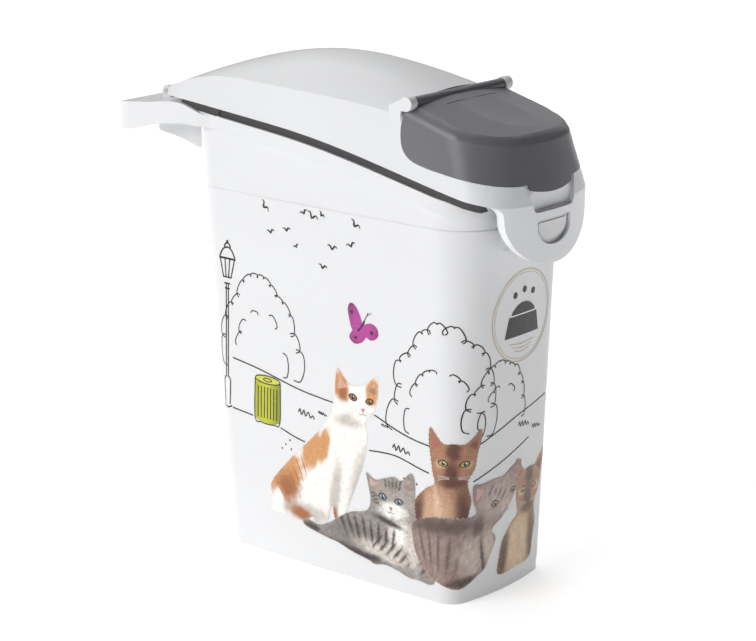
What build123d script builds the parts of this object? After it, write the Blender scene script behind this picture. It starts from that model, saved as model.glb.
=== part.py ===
from build123d import *
from math import atan, cos, sin, tan
import os

# Pet food bin: a slim tapered container with a hinged arched lid, a hinged
# pouring flap, a snap latch at the front and a carrying loop at the rear.
# Frame: millimetres, +Z up, origin on the floor, in the middle of the width and
# 8 mm in front of the middle of the base.
# -Y is the front (flap and latch), +Y is the rear (handle and lid hinge).

os.makedirs("parts", exist_ok=True)

# ---------------------------------------------------------------- driving sizes
wall = 2.2                 # moulded wall of the bin and the lid
floor_thickness = 3.0
foot_height = 1.2          # depth of the groove under the base
foot_width = 7.0
groove_width = 6.0
body_gap = 0.3             # clearance between pieces on different bodies
lining_gap = 0.05          # seat of a film on its wall

# Plan of the container, at the base and at a height above the rim.
top_height = 352.0
base_plan = dict(front=-101.5, rear=121.0, half_front=56.5, half_rear=56.5,
                 side_bow=2.5, front_bow=7.0, rear_bow=3.0, r_front=16.0, r_rear=16.0)
top_plan = dict(front=-119.3, rear=147.6, half_front=64.4, half_rear=64.4,
                side_bow=2.0, front_bow=5.0, rear_bow=3.0, r_front=41.0, r_rear=18.0)

# Centre line of the seal in side view (y, z): it falls from rear to front.
rim_line = [(-178, 300), (-130, 305), (-60, 319), (34.5, 336.7), (104, 344), (152, 348.4), (242, 352)]
seal_half_height = 3.0
rim_tilt = atan(0.15)

collar_out = 3.0           # the collar stands proud of the wall
collar_depth = 12.6        # from the rim's edge down to the collar's lower edge
seal_inset = 1.9           # the seal is set back from the lid's side
seal_width = 4.3
seal_rear_y = 157.0        # rear end of the seal's wider part
seal_front_y = -125.0
seal_front_end_y = -30.0
corner_inset = 1.5
seal_corner_x = 65.0       # middle of the seal's wider part, across the bin
seal_corner_width = 50.0
rim_low = 240.0            # heights that bound the forms made round the rim
rim_high = 380.0

# Rear loop handle.
loop_half = 69.2
loop_rear = 233.0
loop_bow = 3.0
loop_radius = 24.0
loop_skirt = 2.6
loop_plate = 2.6
loop_start = 118.0
loop_blend = 20.0          # length over which the loop grows out of the collar
loop_blend_step = 2.4
loop_top = [(loop_start, 343.0), (138, 343.4), (152, 347.6), (189, 345.5), (214, 342.9), (230, 340.2),
            (244, 334.5)]
loop_bottom = [(loop_start, 333.0), (139, 332.7), (158, 332.4), (174, 330.6), (190, 327), (214, 320.9),
               (228, 321.3), (244, 327)]
finger_half = 36.0
finger_front = 160.0
finger_rear = 216.0
finger_radius = 14.0
handle_low = 270.0         # heights that bound the forms cut through the handle
handle_high = 360.0
well_front = 130.0
well_floor_drop = 0.6
well_bottom = [(120, 286), (150, 300.5), (169, 308.7), (193, 314.6), (219, 316.6), (240, 316.6)]

# Lid hinge.
lid_axis_y = 194.5
lid_axis_z = 350.2
lid_pin_radius = 2.0
running_clearance = 0.06
ear_inner = 40.2
ear_thickness = 4.2
ear_radius = 4.4
lid_knuckle_inner = 29.0
lid_knuckle_radius = 4.0

# Lid plan where it meets the seal, and the same plan higher up.
lid_low = dict(front=-132.0, rear=178.0, half_front=66.0, half_rear=67.6,
               side_bow=2.4, front_bow=15.0, rear_bow=8.0, r_front=34.0, r_rear=19.0)
lid_high_rise = 62.0
lid_high = dict(front=-116.0, rear=166.0, half_front=58.0, half_rear=47.0,
                side_bow=1.5, front_bow=17.0, rear_bow=8.0, r_front=50.0, r_rear=30.0)
lid_plane_z = 327.0
lid_drop = 80.0            # how far the vertical part of the form reaches down

# Arched roof of the lid: (y, crown z, crease z at the reference half width).
roof_half = 57.0
roof_edge_half = 75.0      # half width and lower edge of the roof's form, past the lid's sides
roof_form_low = 230.0
roof_sections = [(-75, 371.5, 360), (-57, 376.6, 363.5), (-25, 384.5, 368), (20, 391.2, 371.3),
                 (60, 392.0, 373), (100, 386.8, 373.8), (135, 378.0, 371.5), (165, 367.0, 363),
                 (192, 356.5, 353)]

# Flap and its hinge.
flap_axis_y = -57.0
flap_axis_z = 372.2
barrel_radius = 4.2
barrel_half = 53.2
flap_pin_radius = 1.5
flap_wall = 2.0
neck_gap = 0.7
roof_set_back = 2.0        # roof's front edge behind the flap's axis
neck_wall = 1.8
crease_radius = 9.0
crease_rear_y = -60.0
groove_y = -70.0
groove_half = 30.0
groove_size = 0.7
dish_y = -90.0
dish_depth = 1.1
dish_radius = 500.0
flap_roof_rear = (-57.0, 374.6)
flap_roof_front = (-139.0, 351.5)
flap_roof_radius = 400.0
flap_roof_edge_half = 80.0 # half width and depth of the form under the flap's top
flap_roof_depth = 120.0
flap_edge = [(-56, 343), (-62, 335.6), (-76, 330.6), (-112, 325.4), (-150, 318), (-180, 312)]
lip_half = 26.0
lip_bottom = 312.6

# Latch tongue at the front of the lid.
tongue_half = 50.0
tongue_bottom = 260.0
tongue_rim = 2.0
tongue_rim_depth = 4.6
window_half = 20.0
window_top = 294.0
window_bottom = 274.0
notch_half_low = 22.5
notch_half_high = 27.5
notch_low = 300.0
tongue_front = -147.0      # outer face of the tongue at its middle
window_bend = 287.0        # where the window's straight sides end
catch_half = 22.5
catch_bottom = 272.0
catch_top = 296.0
catch_set_back = 3.2       # catch bracket's face behind the tongue's outer face
catch_room_y = -140.0      # front of the hollow in the bracket
bracket_root = -112.0
nose_depth = 1.8
nose_inset = 3.0
nose_lift = 1.5
tongue_bend = 298.0        # where the tongue's straight sides end
tongue_shoulder = 10.0
notch_high = 313.5
notch_depth = 6.0
lip_top = 319.0
far_front = -170.0         # in front of everything
tongue_back = -100.0       # behind the tongue, the notch and the window

# Printed film on the sides and the front.
label_thickness = 0.25
label_bottom = 9.0
label_top = 286.0
label_rear_low = 116.0     # rear edge of the film at the floor's height and at the film's top
label_rear_high = 140.0

# Inside of the lid.
flange_thickness = 2.4
skirt_gap = 1.4
skirt_wall = 1.8
skirt_depth = 8.0
seal_room = 3.0
neck_rear_y = -61.6
neck_rear_low = 345.0
ledge_thickness = 2.2
trough_gap = 0.5
trough_wall = 1.8
knuckle_radius = 5.2
knuckle_width = 7.5
knuckle_tail_y = -42.0
knuckle_foot_y = -52.5
knuckle_foot_z = 360.0
flap_pin_half = 58.5
lid_arm_root = 180.5
lid_pin_inner = 29.0
pin_proud = 0.6

# Flap's inside.
flap_seal_width = 4.4
flap_seal_height = 2.0
flap_seal_rear_y = -62.0


# ---------------------------------------------------------------- shape helpers
def plan(plane, shape, grow=0.0, stretch=1.0):
    """Rounded four-sided outline with bowed sides, grown outward by a distance."""
    front = (shape["front"] - grow) * stretch
    rear = (shape["rear"] + grow) * stretch
    wide_front = shape["half_front"] + grow
    wide_rear = shape["half_rear"] + grow
    wide_mid = (wide_front + wide_rear) / 2 + shape["side_bow"]
    middle = (front + rear) / 2
    with BuildSketch(plane) as outline:
        with BuildLine():
            ThreePointArc((-wide_front, front), (0, front - shape["front_bow"]), (wide_front, front))
            ThreePointArc((wide_front, front), (wide_mid, middle), (wide_rear, rear))
            ThreePointArc((wide_rear, rear), (0, rear + shape["rear_bow"]), (-wide_rear, rear))
            ThreePointArc((-wide_rear, rear), (-wide_mid, middle), (-wide_front, front))
        make_face()
        fillet(outline.vertices().filter_by(lambda v: v.Y < 0), shape["r_front"] + grow)
        fillet(outline.vertices().filter_by(lambda v: v.Y > 0).filter_by(
            lambda v: abs(v.Y - rear) < 0.01), shape["r_rear"] + grow)
    return outline.sketch


def container(grow, low=0.0, high=top_height):
    """The container's tapered form between two heights, grown outward."""
    def at(height):
        share = height / top_height
        return {key: base_plan[key] + share * (top_plan[key] - base_plan[key]) for key in base_plan}
    with BuildPart() as form:
        base = plan(Plane.XY.offset(low), at(low), grow)
        loft(sections=[base, plan(Plane.XY.offset(high), at(high), grow)])
    return form.part


def side_band(lower, upper, half=130.0):
    """Solid between two side-view curves (lists of (y, z)), across the full width."""
    with BuildPart() as band:
        with BuildSketch(Plane.YZ):
            with BuildLine():
                low = Spline(*lower)
                high = Spline(*upper)
                Line(low @ 0, high @ 0)
                Line(low @ 1, high @ 1)
            make_face()
        extrude(amount=half, both=True)
    return band.part


def raised(line, rise):
    return [(y, z + rise) for y, z in line]


def lid_plane(rise):
    """Plane parallel to the seal, which falls towards the front."""
    upward = (0, -sin(rim_tilt), cos(rim_tilt))
    return Plane(origin=(0, 0, lid_plane_z + rise), x_dir=(1, 0, 0), z_dir=upward)


def lid_form(inset):
    """Lid's outer form without its roof: tapered above the seal, upright below it."""
    stretch = 1 / cos(rim_tilt)
    with BuildPart() as form:
        low = plan(lid_plane(0), lid_low, -inset, stretch)
        loft(sections=[low, plan(lid_plane(lid_high_rise), lid_high, -inset, stretch)])
        extrude(low, amount=lid_drop, dir=(0, 0, -1))
    return form.part


def roof_form(drop):
    """Everything under the lid's arched roof, lowered by a distance."""
    with BuildPart() as form:
        arches = []
        for y, crown, crease in roof_sections:
            rise = crown - crease
            radius = (roof_half**2 + rise**2) / (2 * rise)
            edge_z = crown - drop - radius + (radius**2 - roof_edge_half**2) ** 0.5
            with BuildSketch(Plane.XZ.offset(-y)) as arch:
                with BuildLine():
                    ThreePointArc((-roof_edge_half, edge_z), (0, crown - drop), (roof_edge_half, edge_z))
                    Polyline((roof_edge_half, edge_z), (roof_edge_half, roof_form_low),
                             (-roof_edge_half, roof_form_low), (-roof_edge_half, edge_z))
                make_face()
            arches.append(arch.sketch)
        loft(sections=arches)
        extrude(arches[0], amount=110)
    return form.part


# ------------------------------------------------------------- bin body
collar_top = raised(rim_line, -seal_half_height)
collar_low = raised(rim_line, -collar_depth)
far_below = [(-178, -60), (30, -60), (242, -60)]
far_above = [(-178, 460), (30, 460), (242, 460)]


def collar():
    """Thick band round the mouth of the bin."""
    with BuildPart() as band:
        add(container(collar_out, rim_low))
        add(side_band(collar_low, collar_top), mode=Mode.INTERSECT)
    return band.part


def foot_groove():
    """Groove under the base, inside the ring that the bin stands on."""
    with BuildPart() as groove:
        add(container(-foot_width, -1, foot_height))
        add(container(-foot_width - groove_width, -2, foot_height + 1), mode=Mode.SUBTRACT)
    return groove.part


def finger_hole(low, high, grow=0.0):
    """Upright prism through the handle for the fingers."""
    middle = (finger_front + finger_rear) / 2
    with BuildPart() as hole:
        with BuildSketch(Plane.XY.offset(low)):
            with Locations((0, middle)):
                RectangleRounded(2 * (finger_half + grow), finger_rear - finger_front + 2 * grow,
                                 finger_radius + grow)
        extrude(amount=high - low)
    return hole.part


def loop_outline(grow):
    """Plan of the rear loop, from beside the bin round the back."""
    half = loop_half + grow
    rear = loop_rear + grow
    with BuildSketch(Plane.XY.offset(300)) as outline:
        with BuildLine():
            Polyline((-half, rear), (-half, loop_start + loop_blend), (loop_blend_step - half, loop_start),
                     (half - loop_blend_step, loop_start), (half, loop_start + loop_blend), (half, rear))
            ThreePointArc((half, rear), (0, rear + loop_bow), (-half, rear))
        make_face()
        fillet(outline.vertices().filter_by(lambda v: v.Y > rear - 1), loop_radius + grow)
    return outline.sketch


def seal_room_at_rim():
    """Space above the rim that the seal and the lid's floor take."""
    with BuildPart() as room:
        add(container(collar_out - seal_inset + 2 * body_gap, rim_low, rim_high))
        add(side_band(collar_top, far_above), mode=Mode.INTERSECT)
    return room.part


def rear_loop():
    """Carrying loop: outer skirt, top plate and the skirt round the finger hole."""
    with BuildPart() as skirt:
        extrude(loop_outline(0), amount=60)
        extrude(loop_outline(-loop_skirt), amount=60, mode=Mode.SUBTRACT)
        add(side_band(loop_bottom, loop_top), mode=Mode.INTERSECT)
    with BuildPart() as plate:
        extrude(loop_outline(0), amount=60)
        add(side_band(raised(loop_top, -loop_plate), loop_top), mode=Mode.INTERSECT)
    with BuildPart() as well:
        add(finger_hole(handle_low, handle_high, loop_skirt))
        with BuildSketch(Plane.XY.offset(handle_low)):
            with Locations((0, (finger_front + well_front) / 2)):
                Rectangle(2 * (finger_half + loop_skirt), finger_front - well_front)
        extrude(amount=handle_high - handle_low)
        add(side_band(well_bottom, raised(loop_top, -well_floor_drop)), mode=Mode.INTERSECT)
        with BuildSketch(Plane.XY.offset(handle_low)):
            with Locations((0, (finger_front + well_front) / 2)):
                Rectangle(2 * finger_half, finger_front - well_front + 30)
        extrude(amount=loop_top[0][1] - handle_low - loop_plate, mode=Mode.SUBTRACT)
    with BuildPart() as loop:
        add(skirt.part)
        add(plate.part)
        add(well.part)
        add(finger_hole(handle_low, handle_high), mode=Mode.SUBTRACT)
        add(seal_room_at_rim(), mode=Mode.SUBTRACT)
    return loop.part


def hinge_ears():
    """Two ears on the loop's top plate that hold the lid's hinge pins."""
    with BuildPart() as ears:
        for side in (-1, 1):
            inner = side * ear_inner
            with BuildSketch(Plane.YZ.offset(inner)):
                with Locations((lid_axis_y, lid_axis_z)):
                    Circle(ear_radius)
                with Locations((lid_axis_y, lid_axis_z - 4)):
                    Rectangle(2 * ear_radius, 8)
            extrude(amount=side * ear_thickness)
    return ears.part


def window_outline(inset, lift=0.0):
    """D-shaped outline of the latch window, drawn on a plane that faces the front."""
    half = window_half - inset
    depth = window_bend - window_bottom - inset - lift
    with BuildSketch(Plane.XZ) as outline:
        with BuildLine():
            EllipticalCenterArc((0, window_bend), half, depth, 180, arc_size=180)
            Line((half, window_bend), (half, window_top - inset))
            Line((half, window_top - inset), (-half, window_top - inset))
            Line((-half, window_top - inset), (-half, window_bend))
        make_face()
        fillet(outline.vertices().group_by(Axis.Y)[-1], 2.0)
    return outline.sketch


def latch_catch():
    """Hollow bracket on the front wall, with the nose that sits in the latch window."""
    with BuildPart() as catch:
        with BuildSketch(Plane.XY.offset(catch_bottom)):
            with Locations((0, (tongue_front + bracket_root) / 2)):
                Rectangle(2 * catch_half, bracket_root - tongue_front)
        extrude(amount=catch_top - catch_bottom)
        add(lid_form(catch_set_back), mode=Mode.INTERSECT)
        with BuildSketch(Plane.XY.offset(catch_bottom - 1)):
            with Locations((0, (catch_room_y + bracket_root) / 2 + 1)):
                Rectangle(2 * (catch_half - 2), bracket_root - catch_room_y + 2)
        extrude(amount=catch_top - catch_bottom - 1, mode=Mode.SUBTRACT)
    with BuildPart() as nose:
        extrude(window_outline(nose_inset, nose_lift), amount=-tongue_front + 5)
        with BuildSketch(Plane.XZ):
            Rectangle(200, 800)
        extrude(amount=-tongue_front - catch_set_back - 2, mode=Mode.SUBTRACT)
        add(lid_form(nose_depth), mode=Mode.INTERSECT)
    with BuildPart() as both:
        add(catch.part)
        add(nose.part)
    return both.part


with BuildPart() as bin_body:
    add(container(0))
    add(side_band(far_below, collar_top), mode=Mode.INTERSECT)
    add(collar())
    add(rear_loop())
    add(hinge_ears())
    add(latch_catch())
    add(container(-wall, floor_thickness + foot_height, top_height), mode=Mode.SUBTRACT)
    add(foot_groove(), mode=Mode.SUBTRACT)
    for side in (-1, 1):
        with Locations(Plane.YZ.offset(side * (ear_inner - 1))):
            with Locations((lid_axis_y, lid_axis_z)):
                Cylinder(lid_pin_radius, 2 * ear_thickness + 6, mode=Mode.SUBTRACT)
bin_body.part.label = "bin_body"
export_step(bin_body.part, "parts/bin_body.step")


# ------------------------------------------------------------- printed film
with BuildPart() as label_wrap:
    add(container(lining_gap + label_thickness, label_bottom, label_top))
    add(container(lining_gap, label_bottom - 1, label_top + 1), mode=Mode.SUBTRACT)
    with BuildSketch(Plane.YZ):
        with BuildLine():
            Polyline((label_rear_low, 0), (label_rear_high, label_top + 2),
                     (label_rear_high + 60, label_top + 2), (label_rear_high + 60, 0), close=True)
        make_face()
    extrude(amount=100, both=True, mode=Mode.SUBTRACT)
    with BuildSketch(Plane.XZ):
        with Locations((0, (window_top + window_bottom) / 2 + 1)):
            Rectangle(2 * catch_half + 6, catch_top - catch_bottom + 8)
    extrude(amount=200, mode=Mode.SUBTRACT)
label_wrap.part.label = "label_wrap"
export_step(label_wrap.part, "parts/label_wrap.step")


# ------------------------------------------------------------- lid
lid_edge = raised(rim_line, seal_half_height)


def flap_zone(gap):
    """Region of the front of the lid that belongs to the flap, grown by a gap."""
    rear_low = (flap_edge[0][0] + gap, flap_edge[0][1])
    with BuildPart() as zone:
        with BuildSketch(Plane.YZ):
            with BuildLine():
                Spline(*raised([rear_low] + flap_edge[1:], -gap))
                rear_y = flap_axis_y + gap
                start = (rear_low[0], rear_low[1] - gap)
                ThreePointArc(start, (flap_axis_y + 3.6 + gap, 356), (rear_y + 1.5, flap_axis_z - 4))
                Line((rear_y + 1.5, flap_axis_z - 4), (rear_y, flap_axis_z))
                Line((rear_y, flap_axis_z), (rear_y, 430))
                Line((rear_y, 430), (flap_edge[-1][0], 430))
                Line((flap_edge[-1][0], 430), (flap_edge[-1][0], flap_edge[-1][1] - gap))
            make_face()
        extrude(amount=130, both=True)
    return zone.part


def flap_slope():
    """Angle at which the flap's top falls towards the front."""
    return atan((flap_roof_rear[1] - flap_roof_front[1]) / (flap_roof_rear[0] - flap_roof_front[0]))


def flap_roof(drop):
    """Everything under the flap's crowned top, lowered by a distance."""
    rear_y, rear_z = flap_roof_rear
    slope = flap_slope()
    down = Plane(origin=(0, rear_y, rear_z), x_dir=(1, 0, 0), z_dir=(0, -cos(slope), -sin(slope)))
    half = flap_roof_edge_half
    edge_z = -drop - flap_roof_radius + (flap_roof_radius**2 - half**2) ** 0.5
    with BuildPart() as form:
        with BuildSketch(down) as arch:
            with BuildLine():
                ThreePointArc((-half, edge_z), (0, -drop), (half, edge_z))
                Polyline((half, edge_z), (half, -flap_roof_depth),
                         (-half, -flap_roof_depth), (-half, edge_z))
            make_face()
        extrude(amount=150)
        extrude(arch.sketch, amount=-30)
    return form.part


def front_prism(sketch, y_front, y_rear):
    """Prism of a sketch that faces the front, between two depths."""
    with BuildPart() as prism:
        extrude(sketch, amount=-y_front)
        with BuildSketch(Plane.XZ):
            Rectangle(400, 1200)
        extrude(amount=-y_rear, mode=Mode.SUBTRACT)
    return prism.part


def tongue_outline(inset):
    """U-shaped outline of the latch tongue with its two shoulders under the lid's edge."""
    half = tongue_half - inset
    shoulder = tongue_shoulder
    turn = shoulder * (1 - 0.5**0.5)
    top_z = tongue_bend + shoulder
    depth = tongue_bend - tongue_bottom - inset
    with BuildSketch(Plane.XZ) as outline:
        with BuildLine():
            EllipticalCenterArc((0, tongue_bend), half, depth, 180, arc_size=180)
            ThreePointArc((half, tongue_bend), (half + turn, top_z - turn), (half + shoulder, top_z))
            Line((half + shoulder, top_z), (half + shoulder, top_z + 16))
            Line((half + shoulder, top_z + 16), (-half - shoulder, top_z + 16))
            Line((-half - shoulder, top_z + 16), (-half - shoulder, top_z))
            ThreePointArc((-half - shoulder, top_z), (-half - turn, top_z - turn), (-half, tongue_bend))
        make_face()
    return outline.sketch


def notch_outline(grow, high):
    """Trapezoid finger notch under the flap's lip."""
    slope = (notch_half_high - notch_half_low) / (notch_high - notch_low)
    low_half = notch_half_low + grow
    high_half = notch_half_low + grow + slope * (high - notch_low)
    with BuildSketch(Plane.XZ) as outline:
        with BuildLine():
            Polyline((-low_half, notch_low - grow), (low_half, notch_low - grow), (high_half, high),
                     (-high_half, high), close=True)
        make_face()
        fillet(outline.vertices().group_by(Axis.Y)[0], 4.0)
    return outline.sketch


def lid_shell():
    """Arched cover above the seal and the latch tongue, with the flap's region left open."""
    with BuildPart() as hollow:
        add(lid_form(wall))
        add(roof_form(wall), mode=Mode.INTERSECT)
    with BuildPart() as kept:
        add(side_band(lid_edge, far_above))
        add(front_prism(tongue_outline(0), far_front, tongue_back))
    with BuildPart() as shell:
        add(lid_form(0))
        add(roof_form(0), mode=Mode.INTERSECT)
        add(hollow.part, mode=Mode.SUBTRACT)
        add(kept.part, mode=Mode.INTERSECT)
        add(flap_zone(body_gap + 0.1), mode=Mode.SUBTRACT)
        with BuildSketch(Plane.YZ):
            with Locations((flap_axis_y, flap_axis_z + 5)):
                Rectangle(2 * roof_set_back, 10)
        extrude(amount=barrel_half, both=True, mode=Mode.SUBTRACT)
    return shell.part


def returned_rim():
    """Rim turned back along the edge of the latch tongue."""
    with BuildPart() as rim:
        add(lid_form(0.5))
        add(lid_form(tongue_rim_depth), mode=Mode.SUBTRACT)
        add(front_prism(tongue_outline(0), far_front, tongue_back), mode=Mode.INTERSECT)
        add(front_prism(tongue_outline(tongue_rim), far_front, tongue_back + 10), mode=Mode.SUBTRACT)
        add(side_band(far_below, raised(lid_edge, 1)), mode=Mode.INTERSECT)
    return rim.part


def notch_pocket():
    """Back and sides of the finger notch."""
    with BuildPart() as pocket:
        add(lid_form(0.5))
        add(front_prism(notch_outline(2.0, lip_top - 0.5), far_front, tongue_front + notch_depth + 2.0),
            mode=Mode.INTERSECT)
    return pocket.part


def lip_room():
    """Space in front of the neck for the flap's lip."""
    with BuildPart() as room:
        add(front_prism(notch_outline(0.5, lip_top + 3), far_front, tongue_back))
        add(lid_form(flap_wall + neck_gap - 0.2), mode=Mode.SUBTRACT)
    return room.part


def lid_flange():
    """Floor of the lid round the bin's mouth, with the skirt that drops inside the rim."""
    with BuildPart() as flange:
        add(lid_form(0.6))
        add(side_band(lid_edge, raised(lid_edge, flange_thickness)), mode=Mode.INTERSECT)
        add(container(-wall - skirt_gap - 0.9 * skirt_wall, rim_low, rim_high), mode=Mode.SUBTRACT)
    return flange.part


def lid_skirt():
    """Skirt that drops inside the rim and centres the lid."""
    with BuildPart() as skirt:
        add(container(-wall - skirt_gap, rim_low, rim_high))
        add(container(-wall - skirt_gap - skirt_wall, rim_low - 5, rim_high + 5), mode=Mode.SUBTRACT)
        add(side_band(raised(rim_line, -skirt_depth), raised(lid_edge, 1)), mode=Mode.INTERSECT)
    return skirt.part


def pouring_neck():
    """Raised wall round the pouring opening, under the flap."""
    outer = flap_wall + neck_gap
    with BuildPart() as neck:
        add(lid_form(outer))
        add(lid_form(outer + neck_wall), mode=Mode.SUBTRACT)
        add(flap_roof(flap_wall + seal_room), mode=Mode.INTERSECT)
        add(flap_zone(4.0), mode=Mode.INTERSECT)
        with BuildSketch(Plane.XY.offset(300)):
            with Locations((0, neck_rear_y + 100)):
                Rectangle(300, 200)
        extrude(amount=150, mode=Mode.SUBTRACT)
    return neck.part


def neck_rear_wall():
    """Cross wall that closes the pouring neck below the flap's hinge."""
    with BuildPart() as rear_wall:
        with BuildSketch(Plane.XY.offset(neck_rear_low)):
            with Locations((0, neck_rear_y)):
                Rectangle(200, neck_wall)
        extrude(amount=60)
        add(lid_form(flap_wall + neck_gap + 0.2), mode=Mode.INTERSECT)
        add(flap_roof(flap_wall + seal_room + 0.1), mode=Mode.INTERSECT)
    return rear_wall.part


def flap_ledge():
    """Ledge beside the neck that the flap's edge comes down to."""
    top = -body_gap - 0.7
    with BuildPart() as ledge:
        add(lid_form(0.4))
        add(lid_form(flap_wall + neck_gap + 0.8 * neck_wall), mode=Mode.SUBTRACT)
        add(side_band(raised(flap_edge, top - ledge_thickness), raised(flap_edge, top)), mode=Mode.INTERSECT)
    return ledge.part


def flap_trough():
    """Trough under and behind the flap's barrel."""
    with BuildPart() as trough:
        with BuildSketch(Plane.YZ):
            with Locations((flap_axis_y, flap_axis_z)):
                Circle(barrel_radius + trough_gap + trough_wall)
        extrude(amount=80, both=True)
        with BuildSketch(Plane.YZ):
            with Locations((flap_axis_y - 10, flap_axis_z - 5 + 15)):
                Rectangle(24, 30)
            with Locations((neck_rear_y - 10, flap_axis_z)):
                Rectangle(20, 40)
        extrude(amount=200, both=True, mode=Mode.SUBTRACT)
        add(roof_form(0), mode=Mode.INTERSECT)
        add(lid_form(flap_wall + neck_gap), mode=Mode.INTERSECT)
    return trough.part


def flap_knuckles():
    """The two end knuckles that hold the flap's pin."""
    with BuildPart() as ends:
        for side in (-1, 1):
            with BuildSketch(Plane.YZ.offset(side * (barrel_half + 0.4))):
                with BuildLine():
                    Polyline((flap_axis_y, flap_axis_z + knuckle_radius), (knuckle_tail_y, flap_axis_z - 2),
                             (knuckle_tail_y, knuckle_foot_z), (knuckle_foot_y, knuckle_foot_z),
                             (knuckle_foot_y, flap_axis_z - knuckle_radius),
                             (flap_axis_y, flap_axis_z - knuckle_radius), close=True)
                make_face()
                with Locations((flap_axis_y, flap_axis_z)):
                    Circle(knuckle_radius)
            extrude(amount=side * knuckle_width)
    return ends.part


def flap_axis_rod(radius, half):
    """Cylinder on the flap's hinge axis."""
    with BuildPart() as rod:
        with BuildSketch(Plane.YZ):
            with Locations((flap_axis_y, flap_axis_z)):
                Circle(radius)
        extrude(amount=half, both=True)
    return rod.part


def lid_knuckles():
    """Two hinge arms behind the lid's rear face."""
    width = ear_inner - 0.5 - lid_knuckle_inner
    with BuildPart() as arms:
        for side in (-1, 1):
            with BuildSketch(Plane.YZ.offset(side * lid_knuckle_inner)):
                with BuildLine():
                    Polyline((lid_axis_y, lid_axis_z + lid_knuckle_radius),
                             (lid_arm_root, lid_axis_z + 8.5), (lid_arm_root, lid_axis_z + 1.8),
                             (lid_axis_y, lid_axis_z - lid_knuckle_radius), close=True)
                make_face()
                with Locations((lid_axis_y, lid_axis_z)):
                    Circle(lid_knuckle_radius)
                    Circle(lid_pin_radius + running_clearance, mode=Mode.SUBTRACT)
            extrude(amount=side * width)
    return arms.part


with BuildPart() as lid:
    add(lid_shell())
    add(lid_flange())
    add(lid_skirt())
    add(returned_rim())
    add(flap_ledge())
    add(pouring_neck())
    add(neck_rear_wall())
    add(notch_pocket())
    add(front_prism(notch_outline(0, notch_high), far_front, tongue_front + notch_depth),
        mode=Mode.SUBTRACT)
    add(lip_room(), mode=Mode.SUBTRACT)
    add(flap_knuckles())
    add(flap_trough())
    add(flap_axis_rod(barrel_radius + trough_gap, barrel_half + 0.4), mode=Mode.SUBTRACT)
    add(flap_axis_rod(flap_pin_radius, flap_pin_half), mode=Mode.SUBTRACT)
    add(lid_knuckles())
    add(front_prism(window_outline(0), far_front, tongue_back - 20), mode=Mode.SUBTRACT)
lid.part.label = "lid"
export_step(lid.part, "parts/lid.step")


# ------------------------------------------------------------- lid seal
def seal_corners(y_front, y_rear):
    """Seal's wider part, out to the lid's side between two places along the bin."""
    with BuildPart() as corner:
        add(lid_form(corner_inset))
        add(side_band(raised(collar_top, body_gap), lid_edge), mode=Mode.INTERSECT)
        with BuildSketch(Plane.XY.offset(rim_low)):
            for side in (-1, 1):
                with Locations((side * seal_corner_x, (y_front + y_rear) / 2)):
                    Rectangle(seal_corner_width, y_rear - y_front)
        extrude(amount=rim_high - rim_low, mode=Mode.INTERSECT)
        add(front_prism(tongue_outline(-0.5), far_front, tongue_back - 8), mode=Mode.SUBTRACT)
    return corner.part


def rear_seal_corners():
    """The same at the rear, kept above the loop's top."""
    with BuildPart() as corner:
        add(seal_corners(loop_start, seal_rear_y))
        add(side_band(raised(loop_top, 2 * body_gap), raised(loop_top, 60)), mode=Mode.INTERSECT)
    return corner.part


with BuildPart() as lid_seal:
    add(container(collar_out - seal_inset, rim_low, rim_high))
    add(side_band(raised(collar_top, body_gap), lid_edge), mode=Mode.INTERSECT)
    add(seal_corners(seal_front_y, seal_front_end_y))
    add(rear_seal_corners())
    add(container(collar_out - seal_inset - seal_width, rim_low - 10, rim_high + 10), mode=Mode.SUBTRACT)
lid_seal.part.label = "lid_seal"
export_step(lid_seal.part, "parts/lid_seal.step")


# ------------------------------------------------------------- flap
def crease_edges(form):
    """Front and side edges of the largest face that looks upward."""
    roof = form.faces().sort_by(lambda face: face.area * face.normal_at().Z)[-1]
    return roof.edges().filter_by(lambda edge: edge.center().Y < crease_rear_y)


def thumb_dish_centre():
    """Centre of the large ball that presses the thumb dish into the sloping top."""
    slope = flap_slope()
    roof_z = flap_roof_rear[1] + (dish_y - flap_roof_rear[0]) * tan(slope)
    reach = dish_radius - dish_depth
    return (0, dish_y - reach * sin(slope), roof_z + reach * cos(slope))


def flap_groove():
    """Shallow groove across the flap's top, near its hinge."""
    with BuildPart() as groove:
        with Locations((0, groove_y, flap_axis_z)):
            Box(2 * groove_half, groove_size, 30)
        add(flap_roof(groove_size), mode=Mode.SUBTRACT)
    return groove.part


def flap_outer():
    """Solid form of the flap, with its crease rounded, a groove and a thumb dish."""
    with BuildPart() as form:
        add(lid_form(0))
        add(flap_roof(0), mode=Mode.INTERSECT)
        add(flap_zone(0), mode=Mode.INTERSECT)
        fillet(crease_edges(form), crease_radius)
        add(flap_groove(), mode=Mode.SUBTRACT)
        with Locations(thumb_dish_centre()):
            Sphere(dish_radius, mode=Mode.SUBTRACT)
    return form.part


def flap_hollow():
    """Space inside the flap, open below."""
    with BuildPart() as hollow:
        add(lid_form(flap_wall))
        add(flap_roof(flap_wall), mode=Mode.INTERSECT)
        fillet(crease_edges(hollow), crease_radius - flap_wall)
    return hollow.part


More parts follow.
